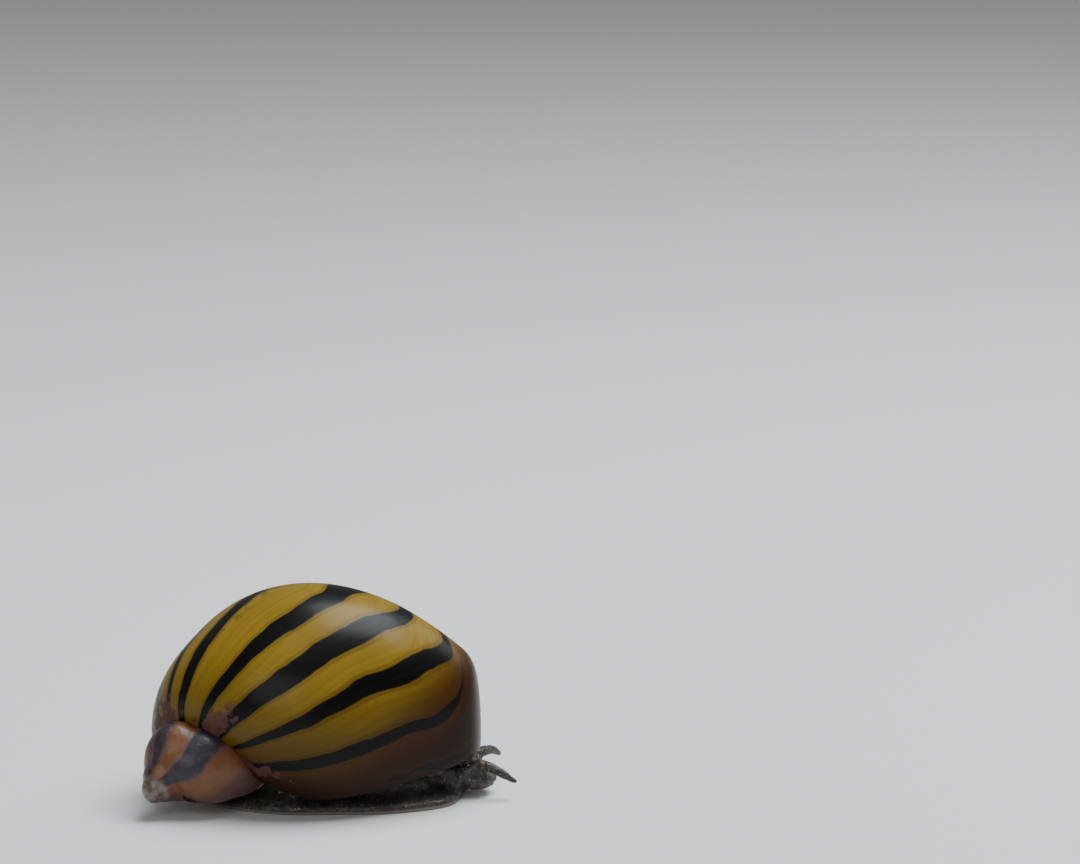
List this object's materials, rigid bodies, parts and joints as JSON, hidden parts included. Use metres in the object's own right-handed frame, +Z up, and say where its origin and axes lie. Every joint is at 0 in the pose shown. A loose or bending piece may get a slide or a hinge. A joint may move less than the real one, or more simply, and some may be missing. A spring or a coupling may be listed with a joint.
{
  "type": "nerite snail",
  "caption": "Live nerite snail with gold and black banded shell, worn spire, toothed deck, lid, foot, snout, tentacles and stalked eyes, still and life-size.",
  "frame": {"origin": "bottom centre of the whole animal's box, on the floor under the foot", "axes": "+Z up, -Y the way the animal heads, -X its right side, +X its left side"},
  "size_m": [0.0158, 0.0232, 0.0137],
  "materials": {
    "shell_body_whorl": "glossy, gold and black bands",
    "shell_spire": "satin, worn mauve-brown with dark bands",
    "shell_apex": "matt, eroded",
    "columellar_deck": "satin, cream",
    "mantle_edge": "moist, dark",
    "body_column": "moist, speckled grey",
    "foot": "moist, speckled grey, pale sole",
    "head": "moist, speckled grey",
    "tentacle_right": "moist, grey",
    "tentacle_left": "moist, grey",
    "eye_stalk_right": "moist, grey",
    "eye_stalk_left": "moist, grey",
    "eye_right": "glossy, black",
    "eye_left": "glossy, black",
    "operculum": "satin, horn grey"
  },
  "bodies": {
    "root": {"shell_body_whorl": "shell_body_whorl", "shell_spire": "shell_spire", "shell_apex": "shell_apex", "columellar_deck": "columellar_deck", "mantle_edge": "mantle_edge", "body_column": "body_column", "foot": "foot", "head": "head", "tentacle_right": "tentacle_right", "tentacle_left": "tentacle_left", "eye_stalk_right": "eye_stalk_right", "eye_stalk_left": "eye_stalk_left", "eye_right": "eye_right", "eye_left": "eye_left", "operculum": "operculum"}
  },
  "joints": []
}
